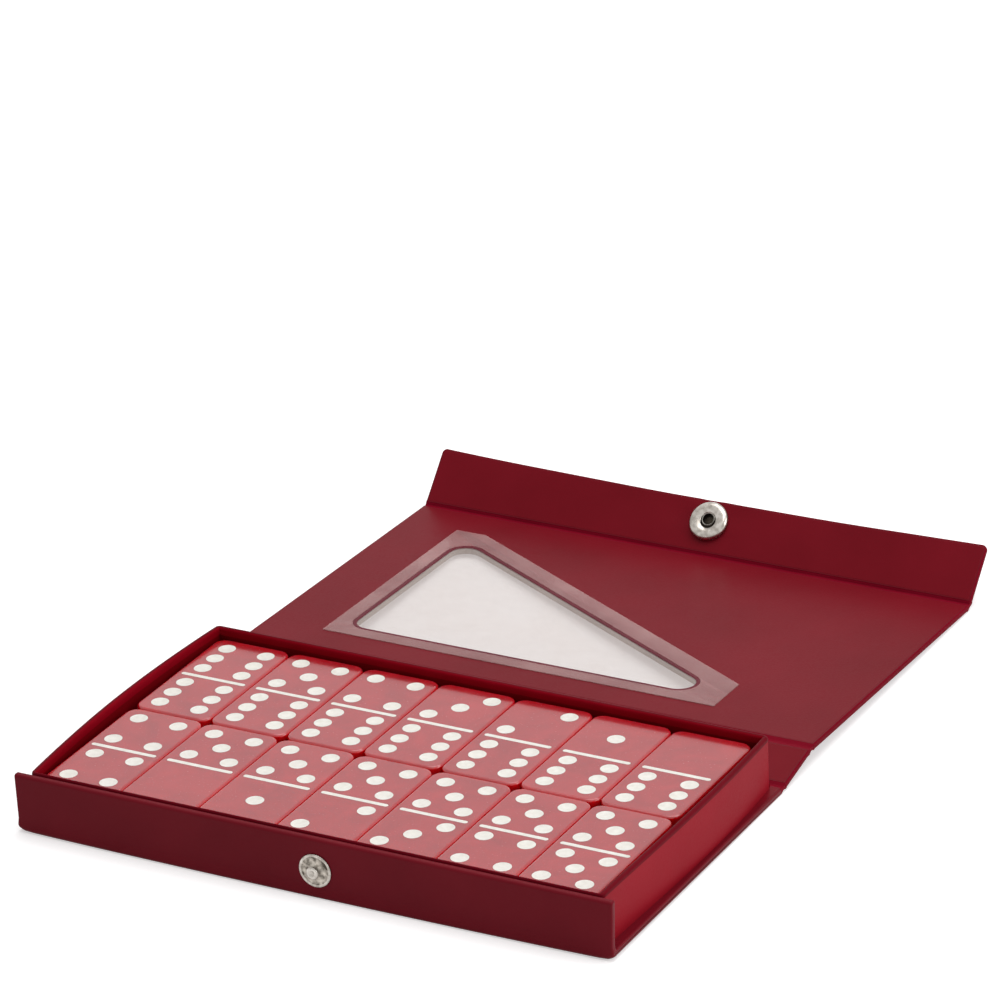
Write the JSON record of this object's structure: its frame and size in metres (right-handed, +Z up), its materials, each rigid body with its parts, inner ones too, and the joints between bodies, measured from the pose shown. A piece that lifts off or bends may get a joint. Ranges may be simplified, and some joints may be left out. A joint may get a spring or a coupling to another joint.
{
  "type": "domino storage box",
  "caption": "Folding leatherette case with a tray of dominoes, a windowed lid on a spine, and a flap that closes with a snap.",
  "frame": {"origin": "middle of the tray's underside, on the flat face that the case rests on", "axes": "+X along the case to the right as seen from its front, +Y from the front panel to the hinged spine, +Z up"},
  "size_m": [0.1806, 0.2481, 0.0183],
  "materials": {
    "leatherette": "burgundy leatherette with fine grain, satin",
    "lining": "burgundy lining paper, satin",
    "tray_paper": "dark red leatherette paper over card",
    "board": "grey bookbinder's board",
    "film": "clear film",
    "nickel": "nickel plated",
    "spring_steel": "plain wire",
    "domino": "polished translucent red, white in the pips and groove"
  },
  "bodies": {
    "case_base": {"base_cover": "leatherette", "base_board": "board", "base_lining": "lining", "base_crease": "leatherette", "front_crease": "leatherette", "front_cover": "leatherette", "front_board": "board", "front_lining": "lining", "tray_floor": "board", "tray_wall_front": "board", "tray_wall_rear": "board", "tray_wall_left": "board", "tray_wall_right": "board", "tray_wrap": "tray_paper", "snap_stud": "nickel", "snap_rivet": "nickel"},
    "spine": {"spine_cover": "leatherette", "spine_board": "board", "spine_lining": "lining", "spine_crease": "leatherette"},
    "lid": {"lid_cover": "leatherette", "lid_board": "board", "lid_lining": "lining", "lid_crease": "leatherette", "window_film": "film"},
    "flap": {"flap_cover": "leatherette", "flap_board": "board", "flap_lining": "lining", "snap_socket": "nickel", "snap_spring": "spring_steel", "snap_cap": "nickel"},
    "domino_4_3": {"domino_4_3": "domino"},
    "domino_6_6": {"domino_6_6": "domino"},
    "domino_4_2": {"domino_4_2": "domino"},
    "domino_6_5": {"domino_6_5": "domino"},
    "domino_4_1": {"domino_4_1": "domino"},
    "domino_6_4": {"domino_6_4": "domino"},
    "domino_4_0": {"domino_4_0": "domino"},
    "domino_6_3": {"domino_6_3": "domino"},
    "domino_3_3": {"domino_3_3": "domino"},
    "domino_6_2": {"domino_6_2": "domino"},
    "domino_3_2": {"domino_3_2": "domino"},
    "domino_6_1": {"domino_6_1": "domino"},
    "domino_3_1": {"domino_3_1": "domino"},
    "domino_6_0": {"domino_6_0": "domino"},
    "domino_3_0": {"domino_3_0": "domino"},
    "domino_4_4": {"domino_4_4": "domino"},
    "domino_2_2": {"domino_2_2": "domino"},
    "domino_5_0": {"domino_5_0": "domino"},
    "domino_2_1": {"domino_2_1": "domino"},
    "domino_5_1": {"domino_5_1": "domino"},
    "domino_2_0": {"domino_2_0": "domino"},
    "domino_5_2": {"domino_5_2": "domino"},
    "domino_1_1": {"domino_1_1": "domino"},
    "domino_5_3": {"domino_5_3": "domino"},
    "domino_1_0": {"domino_1_0": "domino"},
    "domino_5_4": {"domino_5_4": "domino"},
    "domino_0_0": {"domino_0_0": "domino"},
    "domino_5_5": {"domino_5_5": "domino"}
  },
  "joints": [
    {"name": "spine_hinge", "type": "hinge", "parent": "case_base", "child": "spine", "pos_m": [0, 0.0523, 0.0011], "axis": [1, 0, 0], "range_deg": [0, 78]},
    {"name": "lid_hinge", "type": "hinge", "parent": "spine", "child": "lid", "pos_m": [0, 0.0704, 0.00495], "axis": [1, 0, 0], "range_deg": [0, 104]},
    {"name": "flap_hinge", "type": "hinge", "parent": "lid", "child": "flap", "pos_m": [0, 0.17913, 0.00116], "axis": [1, 0, 0], "range_deg": [-36, 42]},
    {"name": "lift_4_3", "type": "slide", "parent": "case_base", "child": "domino_4_3", "axis": [0, 0, -1], "range_m": [-0.03, 0]},
    {"name": "lift_6_6", "type": "slide", "parent": "domino_4_3", "child": "domino_6_6", "axis": [0, 0, -1], "range_m": [-0.03, 0]},
    {"name": "lift_4_2", "type": "slide", "parent": "case_base", "child": "domino_4_2", "axis": [0, 0, -1], "range_m": [-0.03, 0]},
    {"name": "lift_6_5", "type": "slide", "parent": "domino_4_2", "child": "domino_6_5", "axis": [0, 0, -1], "range_m": [-0.03, 0]},
    {"name": "lift_4_1", "type": "slide", "parent": "case_base", "child": "domino_4_1", "axis": [0, 0, -1], "range_m": [-0.03, 0]},
    {"name": "lift_6_4", "type": "slide", "parent": "domino_4_1", "child": "domino_6_4", "axis": [0, 0, -1], "range_m": [-0.03, 0]},
    {"name": "lift_4_0", "type": "slide", "parent": "case_base", "child": "domino_4_0", "axis": [0, 0, -1], "range_m": [-0.03, 0]},
    {"name": "lift_6_3", "type": "slide", "parent": "domino_4_0", "child": "domino_6_3", "axis": [0, 0, -1], "range_m": [-0.03, 0]},
    {"name": "lift_3_3", "type": "slide", "parent": "case_base", "child": "domino_3_3", "axis": [0, 0, -1], "range_m": [-0.03, 0]},
    {"name": "lift_6_2", "type": "slide", "parent": "domino_3_3", "child": "domino_6_2", "axis": [0, 0, -1], "range_m": [-0.03, 0]},
    {"name": "lift_3_2", "type": "slide", "parent": "case_base", "child": "domino_3_2", "axis": [0, 0, -1], "range_m": [-0.03, 0]},
    {"name": "lift_6_1", "type": "slide", "parent": "domino_3_2", "child": "domino_6_1", "axis": [0, 0, -1], "range_m": [-0.03, 0]},
    {"name": "lift_3_1", "type": "slide", "parent": "case_base", "child": "domino_3_1", "axis": [0, 0, -1], "range_m": [-0.03, 0]},
    {"name": "lift_6_0", "type": "slide", "parent": "domino_3_1", "child": "domino_6_0", "axis": [0, 0, -1], "range_m": [-0.03, 0]},
    {"name": "lift_3_0", "type": "slide", "parent": "case_base", "child": "domino_3_0", "axis": [0, 0, -1], "range_m": [-0.03, 0]},
    {"name": "lift_4_4", "type": "slide", "parent": "domino_3_0", "child": "domino_4_4", "axis": [0, 0, -1], "range_m": [-0.03, 0]},
    {"name": "lift_2_2", "type": "slide", "parent": "case_base", "child": "domino_2_2", "axis": [0, 0, -1], "range_m": [-0.03, 0]},
    {"name": "lift_5_0", "type": "slide", "parent": "domino_2_2", "child": "domino_5_0", "axis": [0, 0, -1], "range_m": [-0.03, 0]},
    {"name": "lift_2_1", "type": "slide", "parent": "case_base", "child": "domino_2_1", "axis": [0, 0, -1], "range_m": [-0.03, 0]},
    {"name": "lift_5_1", "type": "slide", "parent": "domino_2_1", "child": "domino_5_1", "axis": [0, 0, -1], "range_m": [-0.03, 0]},
    {"name": "lift_2_0", "type": "slide", "parent": "case_base", "child": "domino_2_0", "axis": [0, 0, -1], "range_m": [-0.03, 0]},
    {"name": "lift_5_2", "type": "slide", "parent": "domino_2_0", "child": "domino_5_2", "axis": [0, 0, -1], "range_m": [-0.03, 0]},
    {"name": "lift_1_1", "type": "slide", "parent": "case_base", "child": "domino_1_1", "axis": [0, 0, -1], "range_m": [-0.03, 0]},
    {"name": "lift_5_3", "type": "slide", "parent": "domino_1_1", "child": "domino_5_3", "axis": [0, 0, -1], "range_m": [-0.03, 0]},
    {"name": "lift_1_0", "type": "slide", "parent": "case_base", "child": "domino_1_0", "axis": [0, 0, -1], "range_m": [-0.03, 0]},
    {"name": "lift_5_4", "type": "slide", "parent": "domino_1_0", "child": "domino_5_4", "axis": [0, 0, -1], "range_m": [-0.03, 0]},
    {"name": "lift_0_0", "type": "slide", "parent": "case_base", "child": "domino_0_0", "axis": [0, 0, -1], "range_m": [-0.03, 0]},
    {"name": "lift_5_5", "type": "slide", "parent": "domino_0_0", "child": "domino_5_5", "axis": [0, 0, -1], "range_m": [-0.03, 0]}
  ]
}
